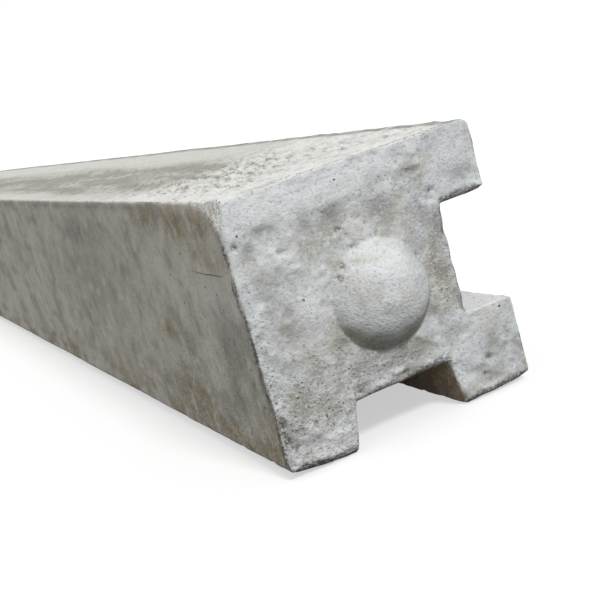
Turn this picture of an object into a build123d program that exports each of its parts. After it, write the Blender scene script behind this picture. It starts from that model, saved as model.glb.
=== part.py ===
"""Slotted concrete corner fence post, cast in one piece, lying with its trowelled face up.

The post lies along Y. Its top end, with a half-ball cast on it, is at -Y and its foot is at +Y.
One panel slot opens downwards through the bed face and the other opens sideways through +X.
The origin is at the middle of the footprint, on the floor. Sizes are in millimetres.
"""

import math
import os

from build123d import *

# Overall size of the casting
post_length = 2440.0
section_width = 117.0
section_height = 116.0

# Panel slot in the bed face, with a flat land beside its mouth to lie on
bed_slot_floor = 46.0
bed_slot_depth = 20.5
bed_slot_draft = 9.0
bed_slot_offset = -0.7
bed_land = 6.0

# Outside the lands the bed face slopes up towards the sides
bed_rise = 2.5

# Panel slot in the side face
side_slot_floor = 47.4
side_slot_depth = 22.5
side_slot_draft = 1.0
side_slot_height = 62.0

# Half-ball on the top end
ball_base_diameter = 45.0
ball_rise = 14.0
ball_height = 59.0
ball_root_fillet = 1.5

# Rounding of the arrises and of the slots' inner corners
bed_arris = 3.5
trowelled_arris = 3.0
slot_mouth_arris = 2.0
slot_root_radius = 3.0
end_arris = 1.5

# How far a slot's cutting outline runs on past the face that it opens through
cut_overrun = 5.0

shaft_length = post_length - ball_rise
foot_y = post_length / 2
top_end_y = foot_y - shaft_length
foot_plane = Plane.XZ.offset(-foot_y)
side_slot_x = section_width / 2 - side_slot_depth
land_reach = bed_slot_floor / 2 + bed_slot_depth * math.tan(math.radians(bed_slot_draft)) + bed_land
ball_radius = ball_base_diameter / 2


def cut_slot(floor, depth, draft, turn):
    """Cut a drafted slot whose floor is centred on the current location."""
    reach = depth + cut_overrun
    mouth = floor + 2 * reach * math.tan(math.radians(draft))
    floor_up = (Align.CENTER, Align.MAX)
    Trapezoid(mouth, reach, 90 - draft, rotation=turn, align=floor_up, mode=Mode.SUBTRACT)


# The cast post: the block less its two panel slots, with rounded ends and the half-ball on the top end
with BuildPart() as post:
    with BuildSketch(foot_plane) as section:
        with BuildLine():
            Polyline(
                (-section_width / 2, bed_rise),
                (bed_slot_offset - land_reach, 0),
                (bed_slot_offset + land_reach, 0),
                (section_width / 2, bed_rise),
                (section_width / 2, section_height),
                (-section_width / 2, section_height),
                close=True,
            )
        make_face()
        fillet(section.vertices().sort_by(Axis.Y)[-2:], radius=trowelled_arris)
        fillet(section.vertices().sort_by(Axis.Y)[2:4], radius=bed_arris)

        with Locations((bed_slot_offset, bed_slot_depth)):
            cut_slot(bed_slot_floor, bed_slot_depth, bed_slot_draft, turn=0)
        bed_slot_corners = section.vertices(Select.LAST).sort_by(Axis.Y)
        fillet(bed_slot_corners[:2], radius=slot_mouth_arris)
        fillet(bed_slot_corners[-2:], radius=slot_root_radius)

        with Locations((side_slot_x, side_slot_height)):
            cut_slot(side_slot_floor, side_slot_depth, side_slot_draft, turn=90)
        side_slot_corners = section.vertices(Select.LAST).sort_by(Axis.X)
        fillet(side_slot_corners[-2:], radius=slot_mouth_arris)
        fillet(side_slot_corners[:2], radius=slot_root_radius)
    extrude(amount=shaft_length)
    fillet(post.faces().filter_by(Axis.Y).edges(), radius=end_arris)

    with BuildSketch(Plane.YZ):
        with BuildLine():
            ball_axis = Line((top_end_y, ball_height), (top_end_y - ball_rise, ball_height))
            ball_curve = RadiusArc(
                ball_axis @ 1,
                (top_end_y, ball_height + ball_radius),
                (ball_radius**2 + ball_rise**2) / (2 * ball_rise),
            )
            Line(ball_curve @ 1, ball_axis @ 0)
        make_face()
    revolve(axis=Axis((0, 0, ball_height), (0, 1, 0)))
    ball_root = post.edges().filter_by(GeomType.CIRCLE).filter_by(Plane.XZ).sort_by(SortBy.RADIUS)[-1]
    fillet(ball_root, radius=ball_root_fillet)

post.part.label = "post"
os.makedirs("parts", exist_ok=True)
export_step(post.part, "parts/post.step")
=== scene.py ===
"""Dresses the slotted concrete corner post: its worn cast skin, and the plain studio that it lies in.

The post lies along Y, with its half-ball end at -Y and its trowelled face up. Left is -X, and the side slot
opens to the right. Sizes are in metres, apart from spots and chips, which are in millimetres.
"""

import itertools
import logging
import math
from dataclasses import dataclass
from enum import Enum

import bpy
import numpy as np
from mathutils import Matrix, Vector
from mathutils.geometry import delaunay_2d_cdt


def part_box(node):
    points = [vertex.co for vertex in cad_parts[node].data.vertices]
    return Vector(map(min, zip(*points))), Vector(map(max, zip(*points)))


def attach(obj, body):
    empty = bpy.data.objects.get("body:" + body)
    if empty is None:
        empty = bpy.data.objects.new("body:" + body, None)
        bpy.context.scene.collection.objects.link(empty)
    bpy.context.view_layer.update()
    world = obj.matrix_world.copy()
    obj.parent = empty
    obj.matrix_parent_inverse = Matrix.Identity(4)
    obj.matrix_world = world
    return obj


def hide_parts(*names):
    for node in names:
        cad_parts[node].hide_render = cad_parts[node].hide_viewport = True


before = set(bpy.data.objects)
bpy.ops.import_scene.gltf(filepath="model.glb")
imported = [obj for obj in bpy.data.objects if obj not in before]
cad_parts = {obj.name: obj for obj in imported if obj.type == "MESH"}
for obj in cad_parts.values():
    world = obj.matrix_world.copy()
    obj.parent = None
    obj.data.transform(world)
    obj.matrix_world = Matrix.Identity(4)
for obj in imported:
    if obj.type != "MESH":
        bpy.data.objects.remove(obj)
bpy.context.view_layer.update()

MM = 0.001
GRAIN_SEED = 11

# How far the trowel's marks run along the post for each step across it
TROWEL_SLANT = 2.4

# The kind of triangulation that keeps what is inside its outline
KEEP_INSIDE = 1

Colour = tuple[float, float, float]
LumpSize = float | tuple[float, float, float]
Socket = bpy.types.NodeSocket

log = logging.getLogger("corner_post")


class Mask(Enum):
    """Values kept on the post's points, which say where each part of the finish goes."""

    END = "end"
    TROWELLED = "trowelled"
    BED_SLOT = "bed_slot"
    # Dark smudges, with painted shade under the upper left lip and on the half-ball's underside
    SMUDGE_AND_SHADE = "smudge_and_shade"
    STAIN = "stain"
    PALE = "pale"
    ROUGH = "rough"
    # Dark nicks, dents and pits, partly painted shade in them, and painted shade under the lower arrises
    NICK_AND_SHADE = "nick_and_shade"
    HOLLOW = "hollow"
    BALL = "ball"


@dataclass(frozen=True)
class Fade:
    """An eased step: nothing at its start, and the most at its end, which may lie below the start."""

    start: float
    end: float
    most: float = 1.0

    def of(self, values: np.ndarray) -> np.ndarray:
        """Ease some values.

        Args:
            values: What to ease.

        Returns:
            0 at the start, rising to the most at the end.
        """
        part = np.clip((values - self.start) / (self.end - self.start), 0, 1)
        return part * part * (3 - 2 * part) * self.most


def bell(distance: np.ndarray, reach: float) -> np.ndarray:
    """Fall from 1 at no distance to about a third at reach."""
    return np.exp(-((distance / reach) ** 2))


@dataclass(frozen=True)
class Lumps:
    """A kind of noise: the size of its lumps, how many layers it has, and where it is drawn from."""

    size: LumpSize
    layers: int = 3
    shift: float = 0.0


class Grain:
    """Seeded gradient noise in space, for relief."""

    TABLE = 256
    GAIN = 1.6
    LAYER_SHIFT = 0.137

    def __init__(self, seed: int) -> None:
        """Draw the lattice's order and slopes.

        Args:
            seed: Start of the random draw.
        """
        draw = np.random.default_rng(seed)
        self.order = draw.permutation(self.TABLE)
        slopes = draw.normal(size=(self.TABLE, 3))
        self.slopes = slopes / np.linalg.norm(slopes, axis=1, keepdims=True)

    def layer(self, points: np.ndarray, size: np.ndarray) -> np.ndarray:
        """Give one layer of smooth noise, of about -1 to 1.

        Args:
            points: Places in metres, one to a row.
            size: Width of the noise's lumps, in metres.

        Returns:
            One value for each point.
        """
        scaled = points / size
        cell = np.floor(scaled).astype(int)
        part = scaled - cell
        ease = part**3 * (part * (part * 6 - 15) + 10)
        total = np.zeros(len(points))
        for corner in itertools.product((0, 1), repeat=3):
            near = np.array(corner)
            place = (cell + near) % self.TABLE
            row = self.order[place[:, 0]]
            row = self.order[(row + place[:, 1]) % self.TABLE]
            row = self.order[(row + place[:, 2]) % self.TABLE]
            lean = ((part - near) * self.slopes[row]).sum(axis=1)
            total += lean * np.where(near, ease, 1 - ease).prod(axis=1)
        return total * self.GAIN

    def noise(self, points: np.ndarray, lumps: Lumps) -> np.ndarray:
        """Add up layers of noise, each half as wide and half as strong as the last.

        Args:
            points: Places in metres, one to a row.
            lumps: The kind of noise.

        Returns:
            One value for each point.
        """
        first = np.asarray(lumps.size, float)
        moved = points + lumps.shift
        layers = (self.layer(moved + self.LAYER_SHIFT * k, first / 2**k) / 2**k for k in range(lumps.layers))
        return sum(layers)


@dataclass(frozen=True)
class Spot:
    """A soft patch on one face, in millimetres: its middle, its half-sizes and its strength."""

    across: float
    height: float
    half_across: float
    half_height: float
    strength: float

    RAGGEDNESS = 0.6

    def cover(self, across: np.ndarray, height: np.ndarray, ragged: np.ndarray | float = 0.0) -> np.ndarray:
        """Give how much of the patch lies over each place.

        Args:
            across: Places across the face, in metres.
            height: Places up the face, in metres.
            ragged: Noise that breaks the patch's edge.

        Returns:
            The patch's strength at each place.
        """
        sideways = (across / MM - self.across) / self.half_across
        upwards = (height / MM - self.height) / self.half_height
        return self.strength * bell(np.hypot(sideways, upwards) * (1 + self.RAGGEDNESS * ragged), 1.0)


def covered(
    spots: tuple[Spot, ...], across: np.ndarray, height: np.ndarray, ragged: np.ndarray
) -> np.ndarray:
    """Give the strongest patch over each place.

    Args:
        spots: The patches.
        across: Places across the face, in metres.
        height: Places up the face, in metres.
        ragged: Noise that breaks the patches' edges.

    Returns:
        One strength for each place.
    """
    return np.max([spot.cover(across, height, ragged) for spot in spots], axis=0)


@dataclass(frozen=True)
class Corner:
    """One corner of the cross-section."""

    x: float
    z: float
    radius: float
    arris: bool


@dataclass
class Outline:
    """Points along the cross-section's edge, with what is known of each."""

    points: np.ndarray
    normals: np.ndarray
    soft_normals: np.ndarray
    arris_distance: np.ndarray


@dataclass
class SectionShape:
    """The post's cross-section, as cast."""

    width: float
    height: float
    bed_slot_floor: float = 46.0 * MM
    bed_slot_depth: float = 20.5 * MM
    bed_slot_draft: float = math.radians(9.0)
    bed_slot_offset: float = -0.7 * MM
    bed_land: float = 6.0 * MM
    bed_rise: float = 2.5 * MM
    side_slot_floor: float = 47.4 * MM
    side_slot_depth: float = 22.5 * MM
    side_slot_draft: float = math.radians(1.0)
    side_slot_height: float = 62.0 * MM
    bed_arris: float = 3.5 * MM
    trowelled_arris: float = 3.0 * MM
    cast_arris: float = 1.4 * MM
    mouth_arris: float = 2.0 * MM
    root_radius: float = 3.0 * MM
    step: float = 1.9 * MM
    arc_steps: int = 5
    normal_blur: float = 4.5 * MM

    def corners(self) -> list[Corner]:
        """Give the corners in order, anticlockwise as seen from the half-ball end.

        Returns:
            The corners, from the lower left.
        """
        half = self.width / 2
        floor = self.bed_slot_floor / 2
        mouth = floor + self.bed_slot_depth * math.tan(self.bed_slot_draft)
        middle = self.bed_slot_offset
        inner = half - self.side_slot_depth
        side_floor = self.side_slot_floor / 2
        side_mouth = side_floor + self.side_slot_depth * math.tan(self.side_slot_draft)
        level = self.side_slot_height
        root = self.root_radius
        return [
            Corner(-half, self.bed_rise, self.bed_arris, True),
            Corner(middle - mouth - self.bed_land, 0.0, 0.0, False),
            Corner(middle - mouth, 0.0, self.mouth_arris, True),
            Corner(middle - floor, self.bed_slot_depth, root, False),
            Corner(middle + floor, self.bed_slot_depth, root, False),
            Corner(middle + mouth, 0.0, self.mouth_arris, True),
            Corner(middle + mouth + self.bed_land, 0.0, 0.0, False),
            Corner(half, self.bed_rise, self.bed_arris, True),
            Corner(half, level - side_mouth, self.mouth_arris, True),
            Corner(inner, level - side_floor, root, False),
            Corner(inner, level + side_floor, root, False),
            Corner(half, level + side_mouth, self.mouth_arris, True),
            Corner(half, self.height, self.trowelled_arris, True),
            Corner(-half, self.height, self.cast_arris, True),
        ]

    def rounded(self, before: Corner, corner: Corner, after: Corner) -> list[np.ndarray]:
        """Give the points that round one corner.

        Args:
            before: The corner before it.
            corner: The corner.
            after: The corner after it.

        Returns:
            Points along its arc, or the corner itself if it is sharp.
        """
        place = np.array([corner.x, corner.z])
        come = place - (before.x, before.z)
        go = np.array([after.x, after.z]) - place
        come = come / np.linalg.norm(come)
        go = go / np.linalg.norm(go)
        if corner.radius == 0:
            return [place]
        turn = math.atan2(come[0] * go[1] - come[1] * go[0], come @ go)
        start = place - come * corner.radius * math.tan(abs(turn) / 2)
        inward = np.array([-come[1], come[0]]) * math.copysign(1, turn)
        centre = start + inward * corner.radius
        points = []
        for k in range(self.arc_steps + 1):
            angle = turn * k / self.arc_steps
            spin = np.array([[math.cos(angle), -math.sin(angle)], [math.sin(angle), math.cos(angle)]])
            points.append(centre + spin @ (start - centre))
        return points

    def outline(self) -> Outline:
        """Sample the whole edge.

        Returns:
            The sampled outline.
        """
        corners = self.corners()
        count = len(corners)
        knots: list[np.ndarray] = []
        for k, corner in enumerate(corners):
            knots += self.rounded(corners[k - 1], corner, corners[(k + 1) % count])
        points: list[np.ndarray] = []
        for here, there in zip(knots, knots[1:] + knots[:1]):
            pieces = max(1, round(np.linalg.norm(there - here) / self.step))
            points += [here + (there - here) * k / pieces for k in range(pieces)]
        edge = np.array(points)
        ahead = np.roll(edge, -1, axis=0) - edge
        lengths = np.linalg.norm(ahead, axis=1)
        chord = np.roll(edge, -1, axis=0) - np.roll(edge, 1, axis=0)
        normals = np.column_stack([chord[:, 1], -chord[:, 0]])
        normals /= np.linalg.norm(normals, axis=1, keepdims=True)
        return Outline(edge, normals, self.blurred(normals, lengths), self.to_arris(edge, corners))

    def blurred(self, normals: np.ndarray, lengths: np.ndarray) -> np.ndarray:
        """Blur the normals along the edge, so that corners are worn back without folding.

        Args:
            normals: The edge's normals.
            lengths: Distance from each point to the next.

        Returns:
            Blurred normals of unit length.
        """
        along = np.concatenate([[0], np.cumsum(lengths)])
        whole = along[-1]
        gap = np.abs(along[:-1, None] - along[None, :-1])
        gap = np.minimum(gap, whole - gap)
        share = bell(gap, self.normal_blur) * lengths[None, :]
        soft = share @ normals
        return soft / np.linalg.norm(soft, axis=1, keepdims=True)

    @staticmethod
    def to_arris(edge: np.ndarray, corners: list[Corner]) -> np.ndarray:
        """Give each point's distance to the nearest arris."""
        arrises = np.array([(c.x, c.z) for c in corners if c.arris])
        return np.linalg.norm(edge[:, None] - arrises[None], axis=2).min(axis=1)


@dataclass
class Skin:
    """Relief of some points, and where each part of the finish goes on them."""

    height: np.ndarray
    masks: dict[Mask, np.ndarray]

    def mixed(self, over: dict[Mask, np.ndarray], share: np.ndarray) -> "Skin":
        """Mix in another finish.

        Args:
            over: Masks of the other finish.
            share: How much of it shows at each point.

        Returns:
            A skin with this one's relief and the mixed finish.
        """
        masks = {
            name: values * (1 - share) + over[name] * share for name, values in self.masks.items()
        }
        return Skin(self.height, masks)


@dataclass
class EndPlaces:
    """Places on the end face, with the noise and zones that its finish is made from."""

    x: np.ndarray
    z: np.ndarray
    flat: np.ndarray
    ragged: np.ndarray
    drift: np.ndarray
    from_axis: np.ndarray
    on_ball: np.ndarray
    past_crescent: np.ndarray
    damp_and_shade: np.ndarray


@dataclass
class EndFace:
    """The top end's face, with the half-ball cast on it."""

    grain: Grain
    section: SectionShape

    # The half-ball, the crescent on its underside (a damp stain darkened further as painted shade), and its
    # mottled upper left
    ball_radius: float = 22.5 * MM
    ball_rise: float = 14.0 * MM
    ball_height: float = 59.0 * MM
    ball_root: float = 1.2 * MM
    ball_rim: Fade = Fade(-4.0 * MM, 1.0 * MM)
    ball_calm: float = 0.6
    ball_clean: float = 0.3
    ball_grit: float = 0.6
    ball_smooth: float = 0.8
    crescent_level: float = 14.5 * MM
    crescent_sag: float = 8.5 * MM
    crescent_waver: float = 1.2 * MM
    crescent_edge: Fade = Fade(-1.5 * MM, 1.2 * MM)
    crescent_rim: Fade = Fade(-0.2 * MM, 1.4 * MM)
    crescent_smudge: float = 0.40
    above_crescent: float = 0.7
    above_crescent_gap: float = 5.0 * MM
    above_crescent_reach: float = 4.0 * MM
    mottle_lean: float = 0.6
    mottle_zone: Fade = Fade(-2.0 * MM, 10.0 * MM)
    mottle_edge: Fade = Fade(-0.1, 0.4, 0.75)

    # Kinds of noise
    ragged: Lumps = Lumps(7.0 * MM)
    drift: Lumps = Lumps(13.0 * MM, shift=0.31)
    olive: Lumps = Lumps(17.0 * MM, shift=0.77)
    mottle: Lumps = Lumps(8.0 * MM, shift=0.19)
    pits: Lumps = Lumps(3.4 * MM, layers=2, shift=0.43)
    swell: Lumps = Lumps(30.0 * MM, layers=1)
    ball_swell: Lumps = Lumps(13.0 * MM, layers=2)
    grit: Lumps = Lumps(4.5 * MM, layers=2)

    # How strongly patches and noise show
    patch_gain: float = 1.35
    stain_gain: float = 1.5
    pale_over_smudge: Fade = Fade(0.3, 0.8, 0.8)
    drift_edge: Fade = Fade(0.2, 0.8)
    drift_smudge: float = 0.75
    drift_pale: float = 0.7
    upper_clean: Fade = Fade(50.0 * MM, 100.0 * MM, 0.45)
    olive_edge: Fade = Fade(0.05, 0.6, 0.55)

    # Where the face is rough: at its lower left, down its left edge, over the bed slot and about the ball
    least_rough: float = 0.36
    most_rough: float = 0.92
    low_zone: Fade = Fade(62.0 * MM, 28.0 * MM)
    low_waver: float = 8.0 * MM
    left_zone: Fade = Fade(22.0 * MM, -8.0 * MM)
    left_waver: float = 10.0 * MM
    left_edge: Fade = Fade(-48.0 * MM, -56.0 * MM)
    left_edge_waver: float = 3.0 * MM
    left_edge_top: Fade = Fade(95.0 * MM, 60.0 * MM)
    over_slot_level: float = 22.0 * MM
    over_slot_reach: float = 8.0 * MM
    over_slot_end: float = 30.0 * MM
    beside_ball: Spot = Spot(30.0, 58.0, 9.0, 26.0, 0.9)
    above_ball: Spot = Spot(6.0, 92.0, 26.0, 14.0, 0.2)

    # Relief
    smudge_depth: float = 1.1 * MM
    pale_rise: float = 1.0 * MM
    swell_height: float = 0.30 * MM
    ball_lumps: float = 0.35 * MM
    grit_height: float = 0.16 * MM
    smooth_grit: float = 0.4
    dent_depth: float = 1.1 * MM
    dent_ragged: float = 0.5
    pit_depth: float = 0.8 * MM
    pit_edge: Fade = Fade(0.0, 0.4)
    pitted_corner: Spot = Spot(-57.0, 17.0, 4.5, 12.86, 1.0)

    # Painted shade along the lower edge, where the arris turns under
    land_edge: float = 33.0 * MM
    flange_width: float = 25.0 * MM
    under_edge: Fade = Fade(3.6 * MM, 1.8 * MM, 0.8)
    under_edge_waver: float = 1.3 * MM

    smudges: tuple[Spot, ...] = (
        Spot(-12.0, 95.7, 6.0, 5.0, 0.75),
        Spot(-24.0, 95.0, 3.0, 7.0, 0.55),
        Spot(-42.0, 98.5, 7.0, 3.0, 0.65),
        Spot(-49.5, 92.0, 3.0, 5.0, 0.65),
        Spot(-37.0, 89.0, 3.0, 1.2, 0.60),
        Spot(8.0, 91.0, 7.0, 6.0, 0.60),
        Spot(25.5, 102.3, 5.5, 1.6, 0.90),
        Spot(33.5, 76.0, 3.5, 8.0, 1.00),
        Spot(27.0, 82.0, 7.0, 5.0, 0.45),
        Spot(34.7, 44.0, 2.5, 6.0, 0.80),
        Spot(-42.0, 54.0, 9.0, 5.0, 0.45),
        Spot(-10.0, 34.0, 7.0, 3.0, 0.60),
        Spot(6.0, 30.0, 9.0, 4.0, 0.75),
        Spot(31.0, 60.0, 4.0, 10.0, 0.40),
        Spot(-17.0, 25.5, 12.0, 2.5, 0.70),
        Spot(29.7, 32.3, 6.0, 3.0, 0.45),
        Spot(44.7, 19.0, 7.0, 4.0, 0.50),
        Spot(37.0, 12.0, 4.0, 3.0, 0.50),
        Spot(51.3, 11.0, 5.0, 3.0, 0.50),
        Spot(-55.0, 15.0, 3.0, 7.0, 0.80),
        Spot(-45.0, 12.0, 9.0, 3.0, 0.45),
        Spot(-36.0, 30.0, 22.0, 18.0, 0.25),
        Spot(-46.0, 72.0, 7.0, 10.0, 0.40),
        Spot(-34.0, 76.0, 6.0, 4.0, 0.40),
        Spot(30.0, 66.0, 5.0, 18.0, 0.50),
        Spot(-2.0, 28.0, 24.0, 5.0, 0.55),
    )
    pale_patches: tuple[Spot, ...] = (
        Spot(-42.0, 87.0, 7.0, 6.0, 0.90),
        Spot(-30.0, 63.0, 9.0, 9.0, 0.60),
        Spot(44.0, 103.0, 10.0, 8.0, 0.30),
        Spot(-11.0, 24.0, 4.0, 1.6, 1.00),
        Spot(-2.0, 26.0, 3.0, 1.2, 0.80),
        Spot(42.0, 32.0, 9.0, 5.0, 0.45),
        Spot(-40.0, 4.5, 13.0, 1.3, 0.45),
        Spot(0.0, 74.0, 16.0, 8.0, 0.50),
        Spot(0.0, 57.0, 15.0, 7.0, 0.45),
        Spot(-38.0, 107.0, 28.0, 10.0, 0.90),
        Spot(-5.0, 107.0, 28.0, 8.0, 0.85),
        Spot(-33.0, 98.0, 5.0, 5.0, 0.60),
        Spot(15.0, 100.0, 9.0, 5.0, 0.50),
    )
    stains: tuple[Spot, ...] = (
        Spot(-24.0, 46.0, 9.0, 9.0, 0.50),
        Spot(-16.0, 36.0, 12.0, 6.0, 0.40),
        Spot(-22.0, 75.0, 8.0, 8.0, 0.30),
        Spot(29.0, 60.0, 6.0, 16.0, 0.80),
        Spot(4.0, 33.0, 18.0, 5.0, 0.55),
        Spot(55.0, 97.0, 3.0, 4.0, 0.35),
        Spot(-17.0, 76.0, 6.0, 4.0, 0.60),
        Spot(-45.0, 26.0, 12.0, 14.0, 0.45),
        Spot(-14.0, 91.0, 20.0, 9.0, 0.55),
        Spot(12.0, 84.0, 10.0, 9.0, 0.45),
        Spot(-38.0, 45.0, 10.0, 12.0, 0.40),
        Spot(-11.0, 68.0, 7.0, 6.0, 0.65),
        Spot(6.0, 58.0, 10.0, 6.0, 0.45),
        Spot(12.0, 70.0, 5.0, 5.0, 0.40),
        Spot(-36.0, 38.0, 8.0, 8.0, 0.50),
        Spot(-24.0, 58.0, 5.0, 12.0, 0.35),
    )
    dents: tuple[Spot, ...] = (
        Spot(-54.7, 96.4, 1.2, 1.0, 1.0),
        Spot(-10.7, 89.7, 1.3, 0.9, 1.0),
        Spot(-13.7, 75.6, 1.3, 1.3, 1.0),
        Spot(-16.7, 71.5, 0.8, 1.3, 0.9),
        Spot(-6.3, 81.5, 1.7, 0.8, 0.8),
        Spot(19.8, 68.5, 0.7, 1.5, 0.8),
        Spot(19.6, 54.5, 0.6, 2.0, 0.8),
        Spot(33.8, 92.3, 1.4, 1.1, 1.0),
        Spot(40.9, 16.3, 1.5, 1.2, 0.9),
        Spot(37.9, 9.7, 1.3, 1.1, 0.9),
        Spot(-20.0, 24.0, 1.8, 1.0, 1.0),
        Spot(2.0, 24.5, 2.2, 1.0, 0.8),
    )

    def ball(self, from_axis: np.ndarray) -> np.ndarray:
        """Give how far the half-ball stands out of the face.

        Args:
            from_axis: Distances from the ball's axis.

        Returns:
            Its rise at each distance, with a soft root.
        """
        sphere = (self.ball_radius**2 + self.ball_rise**2) / (2 * self.ball_rise)
        dome = np.sqrt(np.maximum(sphere**2 - from_axis**2, 0)) - (sphere - self.ball_rise)
        blend = np.clip(0.5 + dome / (2 * self.ball_root), 0, 1)
        return dome * blend + self.ball_root * blend * (1 - blend)

    def places(self, x: np.ndarray, z: np.ndarray) -> EndPlaces:
        """Work out what the finish needs to know of some places.

        Args:
            x: Places across the face.
            z: Places up the face.

        Returns:
            The places, with their noise and zones.
        """
        flat = np.column_stack([x, np.zeros(len(x)), z])
        ragged = self.grain.noise(flat, self.ragged)
        from_axis = np.hypot(x, z - self.ball_height)
        past_rim = from_axis - self.ball_radius
        past_crescent = self.ball_height - z - self.crescent_level
        past_crescent += self.crescent_sag * (x / self.ball_radius) ** 2 + self.crescent_waver * ragged
        return EndPlaces(
            x=x,
            z=z,
            flat=flat,
            ragged=ragged,
            drift=self.grain.noise(flat, self.drift),
            from_axis=from_axis,
            on_ball=1 - self.ball_rim.of(past_rim),
            past_crescent=past_crescent,
            damp_and_shade=self.crescent_edge.of(past_crescent) * (1 - self.crescent_rim.of(past_rim)),
        )

    def patches(self, at: EndPlaces) -> tuple[np.ndarray, np.ndarray, np.ndarray]:
        """Lay smudges, pale patches and stains on the face, and the crescent under the half-ball, a damp
        stain darkened further as painted shade.

        Args:
            at: The places.

        Returns:
            How much of each lies on each place.
        """
        smudge_and_shade, pale, stain = (
            covered(spots, at.x, at.z, at.ragged) for spots in (self.smudges, self.pale_patches, self.stains)
        )
        smudge_and_shade *= 1 - self.pale_over_smudge.of(pale)
        drifting = (self.drift_smudge - self.upper_clean.of(at.z)) * self.drift_edge.of(at.drift)
        smudge_and_shade = np.maximum(np.minimum(self.patch_gain * smudge_and_shade, 1), drifting)
        drifting = self.drift_pale * self.drift_edge.of(-at.drift)
        pale = np.maximum(np.minimum(self.patch_gain * pale, 1), drifting)
        olive = self.olive_edge.of(self.grain.noise(at.flat, self.olive))
        stain = np.maximum(np.minimum(self.stain_gain * stain, 1), olive)

        mottle = at.on_ball * self.mottle_zone.of(at.z - self.mottle_lean * at.x - self.ball_height)
        mottle *= self.mottle_edge.of(self.grain.noise(at.flat, self.mottle))
        # The crescent under the half-ball: a damp stain, darkened further as painted shade on the ball's
        # underside
        smudge_and_shade = np.maximum(smudge_and_shade * (1 - self.ball_calm * at.on_ball), self.crescent_smudge * at.damp_and_shade)
        stain = np.max([stain * (1 - self.ball_clean * at.on_ball), at.damp_and_shade, mottle], axis=0)
        rim = self.above_crescent * at.on_ball * bell(at.past_crescent + self.above_crescent_gap, self.above_crescent_reach)
        pale = np.maximum(pale * (1 - at.damp_and_shade), rim)
        return smudge_and_shade, pale, stain

    def roughness(self, at: EndPlaces) -> np.ndarray:
        """Give how rough the face is.

        Args:
            at: The places.

        Returns:
            0 to 1 for each place.
        """
        low_left = self.low_zone.of(at.z - self.low_waver * at.drift)
        low_left *= self.left_zone.of(at.x - self.left_waver * at.drift)
        left_edge = self.left_edge.of(at.x - self.left_edge_waver * at.ragged)
        left_edge *= self.left_edge_top.of(at.z)
        over_slot = bell(at.z - self.over_slot_level, self.over_slot_reach) * (at.x < self.over_slot_end)
        beside_ball = self.beside_ball.cover(at.x, at.z)
        grit = np.max([low_left, left_edge, over_slot, beside_ball, self.ball_grit * at.on_ball], axis=0)
        smooth = self.least_rough + self.above_ball.cover(at.x, at.z)
        return smooth + (self.most_rough - smooth) * grit

    def skin(self, x: np.ndarray, z: np.ndarray) -> Skin:
        """Give the face's relief and finish.

        Args:
            x: Places across the face.
            z: Places up the face.

        Returns:
            Its skin.
        """
        at = self.places(x, z)
        smudge_and_shade, pale, stain = self.patches(at)
        rough = self.roughness(at)
        dent = covered(self.dents, x, z, self.dent_ragged * at.ragged)
        pitted = self.pitted_corner.cover(x, z) * self.pit_edge.of(self.grain.noise(at.flat, self.pits))
        rise = self.section.bed_rise * np.clip((np.abs(x) - self.land_edge) / self.flange_width, 0, 1)
        under_edge = self.under_edge.of(z - rise - self.under_edge_waver * at.ragged)

        height = self.ball(at.from_axis)
        height += (1 - self.ball_calm * at.on_ball) * (self.pale_rise * pale - self.smudge_depth * smudge_and_shade)
        height += self.swell_height * self.grain.noise(at.flat, self.swell)
        height += self.ball_lumps * at.on_ball * self.grain.noise(at.flat, self.ball_swell)
        gritty = (self.smooth_grit + (1 - self.smooth_grit) * rough) * (1 - self.ball_smooth * at.on_ball)
        height += self.grit_height * gritty * self.grain.noise(at.flat, self.grit)
        height -= self.dent_depth * dent + self.pit_depth * pitted
        plain = np.zeros(len(x))
        masks = {name: plain for name in Mask}
        masks |= {
            Mask.END: plain + 1,
            Mask.SMUDGE_AND_SHADE: smudge_and_shade,
            Mask.STAIN: stain,
            Mask.PALE: pale,
            Mask.ROUGH: rough,
            # Darker in dents and pits, partly painted shade in them, and painted shade along the lower edge
            Mask.NICK_AND_SHADE: np.max([dent, under_edge, pitted], axis=0),
            Mask.BALL: at.on_ball,
        }
        return Skin(height, masks)


@dataclass
class WallPlaces:
    """Places on the walls, with the noise and zones that their finish is made from."""

    points: np.ndarray
    x: np.ndarray
    z: np.ndarray
    depth: np.ndarray
    facing_z: np.ndarray
    fine: np.ndarray
    near: np.ndarray
    ragged: np.ndarray
    drift: np.ndarray
    left: np.ndarray
    low: np.ndarray


@dataclass
class Trowelling:
    """Where the trowelled face is, where it is left hollow, and the lumps and pocks on it."""

    face: np.ndarray
    hollow: np.ndarray
    lumps: np.ndarray
    pock: np.ndarray


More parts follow.
